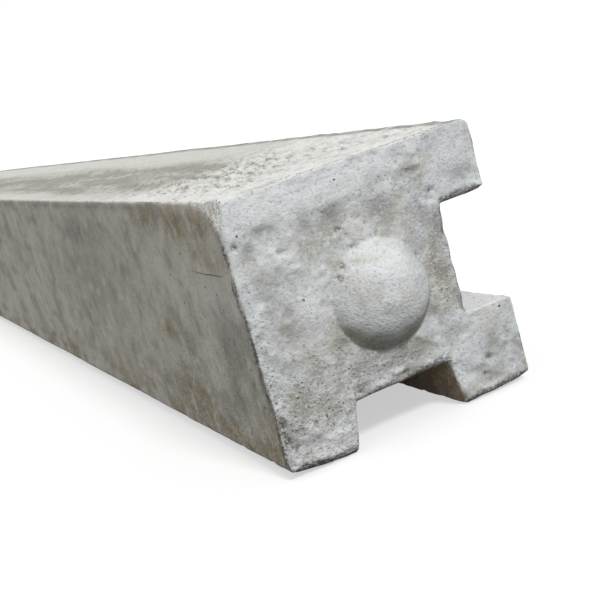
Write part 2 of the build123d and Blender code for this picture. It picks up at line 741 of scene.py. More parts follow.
@dataclass
class Walls:
    """The post's long faces: cast sides and slots, and the trowelled face."""

    grain: Grain
    section: SectionShape
    top_y: float

    # Kinds of noise
    ragged: Lumps = Lumps(9.0 * MM)
    drift: Lumps = Lumps(24.0 * MM, shift=0.53)
    swell: Lumps = Lumps(70.0 * MM, layers=1)
    waver: Lumps = Lumps(15.0 * MM, layers=1)
    tearing: Lumps = Lumps((5.0 * MM, 9.0 * MM, 5.0 * MM))
    band_bend: Lumps = Lumps((1.0, 160.0 * MM, 1.0), layers=1)
    band_soft: Lumps = Lumps((18.0 * MM, 120.0 * MM, 18.0 * MM), layers=2)
    front_torn: Lumps = Lumps((9.0 * MM, 16.0 * MM, 9.0 * MM))
    trowel_lumps: Lumps = Lumps((7.0 * MM, 9.0 * MM, 7.0 * MM))
    pocks: Lumps = Lumps((5.0 * MM, 7.0 * MM, 5.0 * MM), layers=2, shift=0.71)

    # Which part of the walls a place is on
    left_x: float = -50.0 * MM
    facing_left: Fade = Fade(0.5, 0.9)
    low_zone: Fade = Fade(8.0 * MM, 30.0 * MM)
    low_waver: float = 10.0 * MM
    far_off: Fade = Fade(90.0 * MM, 260.0 * MM)
    side_slot_from: float = 34.0 * MM
    side_slot_to: float = 57.0 * MM
    side_slot_half: float = 25.0 * MM
    bed_slot_half: float = 27.0 * MM
    bed_slot_top: float = 30.0 * MM
    bed_slot_lip: Fade = Fade(0.3 * MM, 2.5 * MM)
    fine_spacing: float = 4.0 * MM
    least_fine: float = 0.15

    # How strongly patches and noise show
    patch_gain: float = 1.4
    stain_break: Fade = Fade(-0.9, 0.2)
    low_stain: Fade = Fade(-0.3, 0.5)
    smudge_break: Fade = Fade(-0.9, 0.1)
    drift_smudge: Fade = Fade(0.1, 0.7, 0.7)
    smudge_ragged: float = 0.5
    drift_pale: Fade = Fade(0.1, 0.8, 0.8)
    pale_ragged: float = 0.3
    slot_pale: float = 0.75
    slot_like_end: float = 0.8

    # Dark lines along the arrises: painted shade under the upper left lip and under the lower left arris, and
    # a darker line along the upper right arris
    lip_drop: float = 3.5 * MM
    lip_reach: float = 2.2 * MM
    lip_start: Fade = Fade(50.0 * MM, 90.0 * MM)
    lip_break: Fade = Fade(-0.8, 0.3, 0.9)
    keel_turn: Fade = Fade(0.2, 0.6)
    keel_start: Fade = Fade(10.0 * MM, 120.0 * MM, 0.8)
    far_lip_turn: Fade = Fade(0.1, 0.4)
    far_lip_zone: Fade = Fade(47.0 * MM, 51.0 * MM)
    far_lip_level: float = 100.0 * MM
    far_lip_break: Fade = Fade(-0.9, 0.0)

    # The trowelled face: a hollow band along it, and torn hollows near the end
    facing_up: Fade = Fade(0.6, 0.95)
    at_top: Fade = Fade(-6.0 * MM, -3.0 * MM)
    band_x: float = -15.0 * MM
    band_wander: float = 9.0 * MM
    band_edge: Fade = Fade(10.0 * MM, 42.0 * MM)
    band_start: Fade = Fade(10.0 * MM, 90.0 * MM)
    band_break: Fade = Fade(-0.8, 0.2, 0.45)
    front_start: Fade = Fade(8.0 * MM, 40.0 * MM)
    front_end: Fade = Fade(90.0 * MM, 170.0 * MM)
    front_sides: Fade = Fade(34.0 * MM, 52.0 * MM)
    front_break: Fade = Fade(0.0, 0.6, 0.8)
    pock_edge: Fade = Fade(0.42, 0.72)
    least_pocks: float = 0.35
    pock_dark: float = 0.7

    # Relief
    swell_height: float = 0.25 * MM
    ragged_height: float = 0.12 * MM
    end_waver: float = 0.6 * MM
    end_waver_reach: float = 16.0 * MM
    patch_depth: float = 0.25 * MM
    hollow_depth: float = 1.2 * MM
    lump_height: float = 0.30 * MM
    pock_depth: float = 0.6 * MM
    arris_wear: float = 1.1 * MM
    arris_reach: float = 3.0 * MM
    torn_edge: Fade = Fade(0.05, 0.9)
    torn_pale: float = 0.5

    # Where the walls are rough
    least_rough: float = 0.22
    trowelled_rough: float = 0.55
    trowelled_smooth: float = 0.1
    torn_rough: float = 0.6
    low_rough: float = 0.3
    slot_rough: float = 0.5
    streak_rough: float = 0.35
    streak_top: Fade = Fade(25.0 * MM, 75.0 * MM)
    upper_rough: float = 0.25
    upper_level: float = 108.0 * MM
    upper_reach: float = 8.0 * MM

    stains: tuple[Spot, ...] = (
        Spot(112.0, 52.5, 16.0, 6.0, 0.75),
        Spot(45.0, 106.0, 38.0, 8.0, 0.95),
        Spot(95.0, 108.0, 40.0, 6.0, 0.60),
        Spot(30.0, 92.0, 22.0, 9.0, 0.45),
        Spot(15.0, 16.0, 15.0, 15.0, 0.90),
        Spot(60.0, 8.0, 22.0, 9.0, 0.85),
        Spot(102.0, 17.0, 30.0, 15.0, 0.95),
        Spot(185.0, 16.0, 50.0, 7.0, 0.60),
        Spot(260.0, 25.0, 60.0, 7.0, 0.40),
        Spot(300.0, 80.0, 60.0, 9.0, 0.25),
    )
    smudges: tuple[Spot, ...] = (
        Spot(34.0, 50.0, 7.0, 14.0, 0.90),
        Spot(38.0, 30.0, 8.0, 10.0, 0.90),
        Spot(14.0, 45.0, 5.0, 22.0, 0.80),
        Spot(2.0, 38.0, 6.0, 26.0, 0.85),
        Spot(85.0, 24.0, 14.0, 6.0, 0.75),
        Spot(100.0, 35.0, 14.0, 2.0, 0.60),
        Spot(93.0, 58.0, 6.0, 2.0, 0.60),
        Spot(145.0, 40.0, 10.0, 4.0, 0.45),
        Spot(180.0, 100.0, 28.0, 10.0, 0.40),
        Spot(20.0, 70.0, 10.0, 6.0, 0.35),
        Spot(240.0, 70.0, 90.0, 30.0, 0.45),
        Spot(240.0, 97.0, 70.0, 13.0, 0.65),
        Spot(150.0, 66.0, 16.0, 7.0, 0.50),
        Spot(60.0, 14.0, 14.0, 5.0, 0.65),
        Spot(120.0, 19.0, 18.0, 5.0, 0.65),
        Spot(165.0, 28.0, 16.0, 5.0, 0.50),
    )
    pale_patches: tuple[Spot, ...] = (
        Spot(30.0, 76.0, 28.0, 14.0, 1.00),
        Spot(90.0, 84.0, 40.0, 10.0, 0.55),
        Spot(62.0, 48.0, 10.0, 14.0, 0.50),
        Spot(24.0, 20.0, 7.0, 12.0, 0.60),
    )

    def places(self, points: np.ndarray, normals: np.ndarray, spacing: np.ndarray) -> WallPlaces:
        """Work out what the finish needs to know of some places.

        Args:
            points: Places on the walls.
            normals: Their normals in the section, x and z.
            spacing: Spacing of the rings that they are on.

        Returns:
            The places, with their noise and zones.
        """
        x, z = points[:, 0], points[:, 2]
        depth = points[:, 1] - self.top_y
        drift = self.grain.noise(points, self.drift)
        return WallPlaces(
            points=points,
            x=x,
            z=z,
            depth=depth,
            facing_z=normals[:, 1],
            fine=np.clip(self.fine_spacing / spacing, self.least_fine, 1),
            near=1 - self.far_off.of(depth),
            ragged=self.grain.noise(points, self.ragged),
            drift=drift,
            left=self.facing_left.of(-normals[:, 0]) * (x < self.left_x),
            low=1 - self.low_zone.of(z + self.low_waver * drift),
        )

    def in_side_slot(self, at: WallPlaces) -> np.ndarray:
        """Tell which places are inside the side slot."""
        level = np.abs(at.z - self.section.side_slot_height) < self.side_slot_half
        return (at.x > self.side_slot_from) & (at.x < self.side_slot_to) & level

    def in_bed_slot(self, at: WallPlaces) -> np.ndarray:
        """Give how far inside the bed slot each place is, from nothing at its lips."""
        between = np.abs(at.x - self.section.bed_slot_offset) < self.bed_slot_half
        return between * (at.z < self.bed_slot_top) * self.bed_slot_lip.of(at.z)

    def patches(self, at: WallPlaces) -> tuple[np.ndarray, np.ndarray, np.ndarray]:
        """Lay smudges, pale patches and stains on the walls, with painted shade under the upper left lip laid
        in with the smudges.

        Args:
            at: The places.

        Returns:
            How much of each lies on each place.
        """
        smudge_and_shade, pale, stain = (
            at.left * covered(spots, at.depth, at.z, at.ragged)
            for spots in (self.smudges, self.pale_patches, self.stains)
        )
        stain = np.minimum(self.patch_gain * stain, 1) * self.stain_break.of(at.ragged)
        stain = np.maximum(stain, at.low * self.low_stain.of(at.ragged + at.drift))
        smudge_and_shade = np.minimum(self.patch_gain * smudge_and_shade * self.smudge_break.of(at.ragged), 1)
        smudge_and_shade = np.maximum(smudge_and_shade, self.drift_smudge.of(at.drift + self.smudge_ragged * at.ragged))
        # Painted shade under the trowelled face's slightly overhanging lip, laid in with the smudges
        lip = at.left * bell(at.z - self.section.height + self.lip_drop, self.lip_reach)
        lip *= self.lip_start.of(at.depth) * self.lip_break.of(at.ragged)
        smudge_and_shade = np.maximum(smudge_and_shade, lip)
        drifting = self.drift_pale.of(-at.drift - self.pale_ragged * at.ragged)
        pale = np.max([pale, drifting, self.slot_pale * self.in_side_slot(at)], axis=0)
        return smudge_and_shade, pale, stain

    def trowelling(self, at: WallPlaces) -> Trowelling:
        """Work the trowelled face.

        Args:
            at: The places.

        Returns:
            Where it is, and its hollows, lumps and pocks.
        """
        face = self.facing_up.of(at.facing_z) * self.at_top.of(at.z - self.section.height)
        middle = at.x + self.band_wander * self.grain.noise(at.points, self.band_bend)
        band = face * (1 - self.band_edge.of(np.abs(middle - self.band_x))) * self.band_start.of(at.depth)
        soft = self.band_break.of(self.grain.noise(at.points, self.band_soft))
        aslant = at.points.copy()
        aslant[:, 1] -= TROWEL_SLANT * at.x
        front = face * self.front_start.of(at.depth) * (1 - self.front_end.of(at.depth))
        front *= 1 - self.front_sides.of(np.abs(at.x))
        torn = self.front_break.of(self.grain.noise(aslant, self.front_torn))
        pock = face * self.pock_edge.of(self.grain.noise(aslant, self.pocks))
        pock *= self.least_pocks + (1 - self.least_pocks) * np.maximum(front, band)
        return Trowelling(
            face=face,
            hollow=np.maximum(band * (1 - self.band_break.most + soft), front * torn),
            lumps=self.grain.noise(aslant, self.trowel_lumps),
            pock=pock * at.fine * at.near,
        )

    def roughness(self, at: WallPlaces, trowel: Trowelling, torn: np.ndarray) -> np.ndarray:
        """Give how rough the walls are.

        Args:
            at: The places.
            trowel: The trowelled face.
            torn: Where arrises are torn.

        Returns:
            0 to 1 for each place.
        """
        rough = self.least_rough + self.torn_rough * torn
        rough += trowel.face * (self.trowelled_rough * at.near - self.trowelled_smooth)
        rough += self.low_rough * at.low + self.slot_rough * self.in_bed_slot(at)
        rough += self.streak_rough * at.left * at.near * (1 - self.streak_top.of(at.z))
        rough += self.upper_rough * at.left * at.near * bell(at.z - self.upper_level, self.upper_reach)
        return np.clip(rough, 0, 1)

    def skin(self, points: np.ndarray, normals: np.ndarray, arris: np.ndarray, spacing: np.ndarray) -> Skin:
        """Give the walls' relief and finish.

        Args:
            points: Places on the walls.
            normals: Their normals in the section, x and z.
            arris: Their distances to the nearest arris.
            spacing: Spacing of the rings that they are on.

        Returns:
            Their skin.
        """
        at = self.places(points, normals, spacing)
        smudge_and_shade, pale, stain = self.patches(at)
        trowel = self.trowelling(at)
        bare = 1 - trowel.face
        torn = bell(arris, self.arris_reach) * self.torn_edge.of(self.grain.noise(points, self.tearing))
        far_lip = self.far_lip_turn.of(at.facing_z) * self.far_lip_zone.of(at.x) * (at.z > self.far_lip_level)
        # Painted shade along the underside of the lower left arris
        keel = self.keel_turn.of(-at.facing_z) * (at.x < self.left_x) * self.keel_start.of(at.depth)

        height = self.swell_height * self.grain.noise(points, self.swell)
        height += self.ragged_height * at.fine * at.ragged
        height += self.end_waver * bell(at.depth, self.end_waver_reach) * self.grain.noise(points, self.waver)
        height -= self.patch_depth * at.fine * (smudge_and_shade - pale) * bare
        height -= self.hollow_depth * trowel.hollow
        height += trowel.face * at.fine * trowel.lumps * self.lump_height * (1 + trowel.hollow)
        height -= self.pock_depth * trowel.pock + self.arris_wear * torn * at.fine
        masks = {
            Mask.END: self.slot_like_end * self.in_side_slot(at),
            Mask.TROWELLED: trowel.face,
            Mask.BED_SLOT: self.in_bed_slot(at),
            # Dark smudges and painted shade under the upper left lip, and a darker line along the upper right
            # arris
            Mask.SMUDGE_AND_SHADE: np.maximum(smudge_and_shade * bare, far_lip * self.far_lip_break.of(at.ragged)),
            Mask.STAIN: stain * bare,
            Mask.PALE: np.maximum(pale * bare, self.torn_pale * torn),
            Mask.ROUGH: self.roughness(at, trowel, torn),
            # Dark pocks, partly painted shade in them, and painted shade under the lower left arris
            Mask.NICK_AND_SHADE: np.maximum(self.pock_dark * trowel.pock, keel * self.smudge_break.of(at.ragged)),
            Mask.HOLLOW: trowel.hollow,
            Mask.BALL: np.zeros(len(points)),
        }
        return Skin(height, masks)


@dataclass(frozen=True)
class Chip:
    """A place on the end's arris where the concrete has broken away, in millimetres."""

    x: float
    z: float
    reach: float
    depth: float


@dataclass(frozen=True)
class Facet:
    """A flat worn on the end's upper left corner: how far it runs along, down and across."""

    along: float
    down: float
    across: float


@dataclass
class CastPost:
    """The post itself: one casting with two panel slots and a half-ball on its top end."""

    section: SectionShape
    end_face: EndFace
    walls: Walls
    grain: Grain
    top_y: float
    foot_y: float

    # Spacing of the mesh
    arris_rings: int = 6
    first_step: float = 1.2 * MM
    step_growth: float = 1.025
    last_step: float = 20.0 * MM
    least_spacing: float = 1.0 * MM
    cap_step: float = 0.78 * MM
    foot_cap_step: float = 4.0 * MM
    ball_crowding: float = 0.8
    ball_margin: float = 4.0
    edge_margin: float = 0.7
    row_share: float = math.sqrt(0.75)
    merge_distance: float = 1e-9

    # The end's arris, rounder on the bed, at the upper left and where it is chipped
    end_arris: float = 0.8 * MM
    bed_end_arris: float = 2.3 * MM
    worn_end_arris: float = 1.5 * MM
    least_arris: float = 0.4 * MM
    most_arris: float = 4.2 * MM
    arris_run_out: float = 20.0 * MM
    arris_lumps: Lumps = Lumps(9.0 * MM)
    arris_waver: float = 0.8
    upward_calm: Fade = Fade(0.5, 0.95, 0.5)
    facing_down: Fade = Fade(0.5, 0.95)
    worn_level: Fade = Fade(80.0 * MM, 92.0 * MM)
    worn_left: Fade = Fade(-22.0 * MM, -52.0 * MM)
    chip_lumps: Lumps = Lumps(2.6 * MM, layers=1)
    chip_waver: float = 0.45
    chips: tuple[Chip, ...] = (
        Chip(-27.0, 0.0, 6.0, 2.8),
        Chip(25.6, 0.0, 8.0, 3.0),
        Chip(36.0, 39.0, 3.0, 2.4),
        Chip(36.0, 52.0, 2.5, 1.0),
        Chip(36.0, 62.0, 3.0, 1.2),
        Chip(36.0, 75.0, 3.0, 1.3),
        Chip(8.0, 20.5, 14.0, 1.2),
        Chip(-58.5, 74.0, 4.0, 0.9),
        Chip(-58.5, 41.0, 5.0, 0.9),
        Chip(-58.5, 14.0, 4.0, 1.4),
        Chip(-52.0, 1.5, 7.0, 1.4),
    )

    # The worn upper left corner
    facets: tuple[Facet, ...] = (
        Facet(27.0 * MM, 8.0 * MM, 3.6 * MM),
        Facet(15.0 * MM, 12.0 * MM, 5.0 * MM),
    )
    facet_lumps: Lumps = Lumps(5.0 * MM)
    facet_relief: float = 0.4 * MM
    facet_reach: float = 60.0 * MM
    facet_edge: Fade = Fade(-0.4 * MM, 0.2 * MM)
    facet_pale: float = 0.9

    # Dark nicks round the end's arris, partly dirt and partly painted shade in the chips, and painted shade
    # where it faces down, by how far round it they lie: 0 at the end face and 1 at the wall
    nick_lumps: Lumps = Lumps(5.0 * MM)
    nick_edge: Fade = Fade(-0.9, 0.2)
    facing_side: Fade = Fade(0.6, 0.95)
    side_break: tuple[Fade, Fade] = (Fade(0.2, 0.9), Fade(1.1, 1.6))
    left_x: float = -50.0 * MM
    left_break_top: Fade = Fade(95.0 * MM, 106.0 * MM)
    bed_shade: Fade = Fade(-0.2, 0.2)
    bed_shade_least: float = 0.45
    slot_top_from: float = 10.0 * MM
    slot_top_least: float = 0.2
    slot_top_shade: Fade = Fade(-4.0 * MM, 14.0 * MM, 0.6)
    crest_break: tuple[Fade, Fade] = (Fade(0.3, 0.7), Fade(0.9, 1.3))
    crest_dark: float = 0.55
    crest_start: Fade = Fade(-45.0 * MM, -30.0 * MM)
    crest_level: float = 100.0 * MM
    right_x: float = 30.0 * MM
    right_break: Fade = Fade(0.0, 0.3, 0.9)
    right_nicks: Fade = Fade(0.4, 0.9)

    # The foot
    foot_lumps: Lumps = Lumps(20.0 * MM, layers=2)
    foot_relief: float = 0.2 * MM

    def stations(self) -> np.ndarray:
        """Give depths behind the top end's face at which the wall has a ring, fine near that end.

        Returns:
            The depths.
        """
        length = self.foot_y - self.top_y
        depths = [0.0]
        step = self.first_step
        while depths[-1] + step < length - 2 * self.end_arris - self.last_step / 2:
            depths.append(depths[-1] + step)
            step = min(step * self.step_growth, self.last_step)
        return np.array(depths)

    def end_rounding(self, outline: Outline) -> np.ndarray:
        """Give the radius of the top end's arris at each point of the outline, larger where it is chipped.

        Args:
            outline: The sampled cross-section.

        Returns:
            One radius for each point.
        """
        x, z = outline.points.T
        flat = np.column_stack([x, np.zeros(len(x)), z])
        waver = self.arris_waver - self.upward_calm.of(outline.normals[:, 1])
        radius = self.end_arris * (1 + waver * self.grain.noise(flat, self.arris_lumps))
        radius += self.bed_end_arris * self.facing_down.of(-outline.normals[:, 1])
        radius += self.worn_end_arris * self.worn_level.of(z) * self.worn_left.of(x)
        broken = 1 + self.chip_waver * self.grain.noise(flat, self.chip_lumps)
        for chip in self.chips:
            away = np.hypot(x - chip.x * MM, z - chip.z * MM)
            radius += chip.depth * MM * bell(away, chip.reach * MM) * broken
        return np.clip(radius, self.least_arris, self.most_arris)

    def rings(self, outline: Outline) -> tuple[np.ndarray, np.ndarray]:
        """Make the rings of points from the top end's face to the foot.

        Args:
            outline: The sampled cross-section.

        Returns:
            Points as ring by outline by axis, and the way that relief pushes each.
        """
        arris = self.end_rounding(outline)
        edge, soft, normals = outline.points, outline.soft_normals, outline.normals
        rings, pushes = [], []

        def add(place: np.ndarray, y: np.ndarray, lean: float) -> None:
            """Add a ring, whose relief pushes less the nearer it is to an end's face.

            Args:
                place: The ring's points, x and z.
                y: Where each of them is along the post.
                lean: Share of the relief that pushes it out.
            """
            rings.append(np.column_stack([place[:, 0], y, place[:, 1]]))
            pushes.append(np.column_stack([normals[:, 0] * lean, np.zeros(len(edge)), normals[:, 1] * lean]))

        for k in range(self.arris_rings):
            angle = math.pi / 2 * k / self.arris_rings
            place = edge - soft * (arris * (1 - math.sin(angle)))[:, None]
            add(place, self.top_y + arris * (1 - math.cos(angle)), math.sin(angle))
        for depth in self.stations():
            shift = arris * max(0.0, 1 - depth / self.arris_run_out)
            add(edge, self.top_y + depth + shift, 1.0)
        for k in range(self.arris_rings + 1):
            angle = math.pi / 2 * k / self.arris_rings
            place = edge - soft * self.end_arris * (1 - math.cos(angle))
            y = np.full(len(edge), self.foot_y - self.end_arris * (1 - math.sin(angle)))
            add(place, y, math.cos(angle))
        return np.array(rings), np.array(pushes)

    @staticmethod
    def inside(points: np.ndarray, edge: np.ndarray) -> np.ndarray:
        """Tell which points lie inside a closed outline.

        Args:
            points: The points, x and z.
            edge: The outline's points, x and z.

        Returns:
            True for each point inside it.
        """
        ahead = np.roll(edge, -1, axis=0)
        crossed = np.zeros(len(points), bool)
        for (x0, z0), (x1, z1) in zip(edge, ahead):
            if z0 != z1:
                spans = (points[:, 1] > z0) != (points[:, 1] > z1)
                where = x0 + (points[:, 1] - z0) / (z1 - z0) * (x1 - x0)
                crossed ^= spans & (points[:, 0] < where)
        return crossed

    def lattice(self, edge: np.ndarray, step: float, domed: bool) -> np.ndarray:
        """Spread points over an end, in circles where the half-ball stands.

        Args:
            edge: The end ring's points, x and z.
            step: Spacing of the points inside it.
            domed: Whether the half-ball stands on this end.

        Returns:
            The points, x and z.
        """
        low, high = edge.min(axis=0), edge.max(axis=0)
        rows = np.arange(low[1], high[1], step * self.row_share)
        columns = np.arange(low[0], high[0] + step, step)
        x, z = np.meshgrid(columns, rows)
        x[1::2] += step / 2
        inner = np.column_stack([x.ravel(), z.ravel()])
        if domed:
            level = self.end_face.ball_height
            reach = self.end_face.ball_radius + self.ball_margin * self.end_face.ball_root
            inner = inner[np.hypot(inner[:, 0], inner[:, 1] - level) > reach + step / 2]
            circles = [np.array([[0.0, level]])]
            for radius in np.arange(self.ball_crowding * step, reach, self.ball_crowding * step):
                turns = np.arange(0, 2 * math.pi, step / radius)
                circles.append(np.column_stack([radius * np.cos(turns), level + radius * np.sin(turns)]))
            inner = np.concatenate([inner, *circles])
        inner = inner[self.inside(inner, edge)]
        clear = np.full(len(inner), np.inf)
        for point in edge:
            clear = np.minimum(clear, np.hypot(inner[:, 0] - point[0], inner[:, 1] - point[1]))
        return inner[clear > self.edge_margin * step]

    def filled(
        self, edge: np.ndarray, inner: np.ndarray, first_edge: int, first_inner: int
    ) -> list[tuple[int, ...]]:
        """Join an end ring and the points inside it with triangles.

        Args:
            edge: The ring's points, x and z.
            inner: The points inside it.
            first_edge: Where the ring's points start in the mesh.
            first_inner: Where the points inside it start in the mesh.

        Returns:
            The triangles, which face the top end.
        """
        count = len(edge)
        places = [Vector(p) for p in np.concatenate([edge, inner]).tolist()]
        loop = [(k, (k + 1) % count) for k in range(count)]
        _, _, triangles, origins, _, _ = delaunay_2d_cdt(
            places, loop, [], KEEP_INSIDE, self.merge_distance
        )
        numbers = [*range(first_edge, first_edge + count), *range(first_inner, first_inner + len(inner))]
        return [tuple(numbers[origins[v][0]] for v in triangle) for triangle in triangles]

    def wear_corner(self, points: np.ndarray) -> np.ndarray:
        """Cut the worn facets off the top end's upper left corner.

        Args:
            points: All points of the post, changed in place.

        Returns:
            Mask of the facets.
        """
        tip = np.array([-self.section.width / 2, self.top_y, self.section.height])
        rough = self.facet_relief * self.grain.noise(points, self.facet_lumps)
        near = np.linalg.norm(points - tip, axis=1) < self.facet_reach
        mask = np.zeros(len(points))
        for facet in self.facets:
            normal = np.array([-1 / facet.across, -1 / facet.along, 1 / facet.down])
            size = np.linalg.norm(normal)
            over = (points - tip) @ (normal / size) + 1 / size - rough
            cut = (over > 0) & near
            points[cut] -= over[cut, None] * (normal / size)
            mask = np.maximum(mask, self.facet_edge.of(over) * near)
        return mask

    def wall(self, outline: Outline) -> tuple[np.ndarray, Skin]:
        """Make the wall's points, from the end face's edge to the foot's.

        Args:
            outline: The sampled cross-section.

        Returns:
            The points, ring after ring, and their skin.
        """
        grid, pushes = self.rings(outline)
        rings, count = grid.shape[:2]
        spacing = np.repeat(np.gradient(grid[:, :, 1].mean(axis=1)), count)
        points = grid.reshape(-1, 3)
        normals = np.tile(outline.normals, (rings, 1))
        arris = np.tile(outline.arris_distance, rings)
        skin = self.walls.skin(points, normals, arris, np.maximum(spacing, self.least_spacing))

        turn = self.arris_rings
        front = slice(0, turn * count)
        facing_end = np.cos(np.repeat(np.arange(turn) / turn * math.pi / 2, count))
        end_skin = self.end_face.skin(points[front, 0], points[front, 2])
        behind = (0, len(points) - turn * count)
        over = {name: np.pad(values, behind) for name, values in end_skin.masks.items()}
        skin = skin.mixed(over, np.pad(facing_end, behind))
        points = points + pushes.reshape(-1, 3) * skin.height[:, None]
        points[front, 1] -= end_skin.height * facing_end

        # Darken the end's arris: nicks, and painted shade where it faces down
        edges = slice(0, 2 * turn * count)
        turns = np.repeat(np.arange(2 * turn) / turn, count)
        broken = self.nicked_and_shaded_arris(points[edges], normals[edges], turns)
        skin.masks[Mask.NICK_AND_SHADE][edges] = np.maximum(skin.masks[Mask.NICK_AND_SHADE][edges], broken)
        return points, skin

    def nicked_and_shaded_arris(self, points: np.ndarray, normals: np.ndarray, turns: np.ndarray) -> np.ndarray:
        """Give where the end's arris is dark: in nicks down its sides, partly painted shade in them, and
        painted shade all along the bed and under the slots' tops, where it faces down.

        Args:
            points: Points of the arris.
            normals: Their normals in the section, x and z.
            turns: How far round the arris each is, 0 at the end face and 1 at the wall.

        Returns:
            Mask of the dark places.
        """
        x, z = points[:, 0], points[:, 2]
        facing_x, facing_z = normals.T
        nicks = self.nick_edge.of(self.grain.noise(points, self.nick_lumps))
        side_from, side_to = self.side_break
        left = self.facing_side.of(-facing_x) * (x < self.left_x) * (1 - self.left_break_top.of(z))
        dark = side_from.of(turns) * (1 - side_to.of(turns)) * nicks * left
        # Painted shade on the arris where it faces down
        slot_top = self.slot_top_least + self.slot_top_shade.of(x)
        under = self.facing_down.of(-facing_z) * np.where(z > self.slot_top_from, slot_top, 1)
        dark += self.bed_shade.of(turns) * (self.bed_shade_least + (1 - self.bed_shade_least) * nicks) * under
        crest_from, crest_to = self.crest_break
        above = self.facing_side.of(facing_z) * self.crest_start.of(x) * (z > self.crest_level)
        dark += self.crest_dark * crest_from.of(turns) * (1 - crest_to.of(turns)) * above
        right = self.facing_side.of(facing_x) * (x > self.right_x)
        dark += self.right_break.of(turns) * self.right_nicks.of(nicks) * right
        return np.clip(dark, 0, 1)

    @staticmethod
    def joined(rings: int, count: int) -> list[tuple[int, ...]]:
        """Give the wall's quads.

        Args:
            rings: How many rings.
            count: Points in each.

        Returns:
            The quads, facing out.
        """
        faces = []
        for ring in range(rings - 1):
            base = ring * count
            for k in range(count):
                ahead = (k + 1) % count
                faces.append((base + k, base + count + k, base + count + ahead, base + ahead))
        return faces

    def build(self) -> bpy.types.Object:
        """Make the post's mesh.

        Returns:
            The post, linked to the scene.
        """
        outline = self.section.outline()
        count = len(outline.points)
        wall, skin = self.wall(outline)
        edge = wall[:count, [0, 2]]
        inner = self.lattice(edge, self.cap_step, True)
        end_skin = self.end_face.skin(inner[:, 0], inner[:, 1])
        end = np.column_stack([inner[:, 0], self.top_y - end_skin.height, inner[:, 1]])
        foot_edge = wall[-count:, [0, 2]]
        foot_inner = self.lattice(foot_edge, self.foot_cap_step, False)
        foot = np.insert(foot_inner, 1, self.foot_y, axis=1)
        foot[:, 1] -= self.foot_relief * (1 + self.grain.noise(foot, self.foot_lumps))

        points = np.concatenate([wall, end, foot])
        foot_faces = self.filled(foot_edge, foot_inner, len(wall) - count, len(wall) + len(end))
        faces = self.joined(len(wall) // count, count)
        faces += self.filled(edge, inner, 0, len(wall))
        faces += [face[::-1] for face in foot_faces]
        worn = self.wear_corner(points)
        points[:, 2] = np.maximum(points[:, 2], 0)
        masks = {
            name: np.concatenate([values, end_skin.masks[name], np.zeros(len(foot))])
            for name, values in skin.masks.items()
        }
        masks[Mask.PALE] = np.maximum(masks[Mask.PALE], self.facet_pale * worn)
        masks[Mask.ROUGH] = np.maximum(masks[Mask.ROUGH], worn)
        masks[Mask.SMUDGE_AND_SHADE] *= 1 - worn
        masks[Mask.STAIN] *= 1 - worn
        return self.finished(points, faces, masks)

    @staticmethod
    def finished(
        points: np.ndarray, faces: list[tuple[int, ...]], masks: dict[Mask, np.ndarray]
    ) -> bpy.types.Object:
        """Make the mesh object with its masks.

        Args:
            points: The mesh's points.
            faces: Its faces.
            masks: Values to keep on its points.

        Returns:
            The object, linked to the scene.
        """
        mesh = bpy.data.meshes.new("cast_post")
        mesh.from_pydata(points.tolist(), [], faces)
        mesh.validate()
        mesh.polygons.foreach_set("use_smooth", np.ones(len(mesh.polygons), bool))
        for name, values in masks.items():
            layer = mesh.attributes.new(name.value, "FLOAT", "POINT")
            layer.data.foreach_set("value", values.astype(np.float32))
        post = bpy.data.objects.new("cast_post", mesh)
        bpy.context.scene.collection.objects.link(post)
        return post


class Val:
    """A number in a shader: sums on it add Math nodes."""

    def __init__(self, bench: "Bench", socket: Socket) -> None:
        """Wrap an output socket.

        Args:
            bench: The bench that its node is on.
            socket: The socket.
        """
        self.bench = bench
        self.socket = socket

    def sum(self, operation: str, first: "Val | float", second: "Val | float") -> "Val":
        """Add one Math node.

        Args:
            operation: The node's operation.
            first: First number.
            second: Second number.

        Returns:
            Its result.
        """
        made = self.bench.node("ShaderNodeMath", {"operation": operation}, {0: first, 1: second})
        return Val(self.bench, made.outputs[0])

    def __add__(self, other: "Val | float") -> "Val":
        """Add."""
        return self.sum("ADD", self, other)

    def __radd__(self, other: float) -> "Val":
        """Add to a number."""
        return self.sum("ADD", other, self)

    def __sub__(self, other: "Val | float") -> "Val":
        """Take away."""
        return self.sum("SUBTRACT", self, other)

    def __rsub__(self, other: float) -> "Val":
        """Take from a number."""
        return self.sum("SUBTRACT", other, self)

    def __mul__(self, other: "Val | float") -> "Val":
        """Multiply."""
        return self.sum("MULTIPLY", self, other)

    def __rmul__(self, other: float) -> "Val":
        """Multiply a number."""
        return self.sum("MULTIPLY", other, self)

    def most(self, other: "Val | float") -> "Val":
        """Give the larger."""
        return self.sum("MAXIMUM", self, other)


@dataclass(frozen=True)
class Pattern:
    """A noise in a material: the size of its lumps, its layers of finer noise and their strength."""

    size: LumpSize
    detail: float = 3.0
    rough: float = 0.55


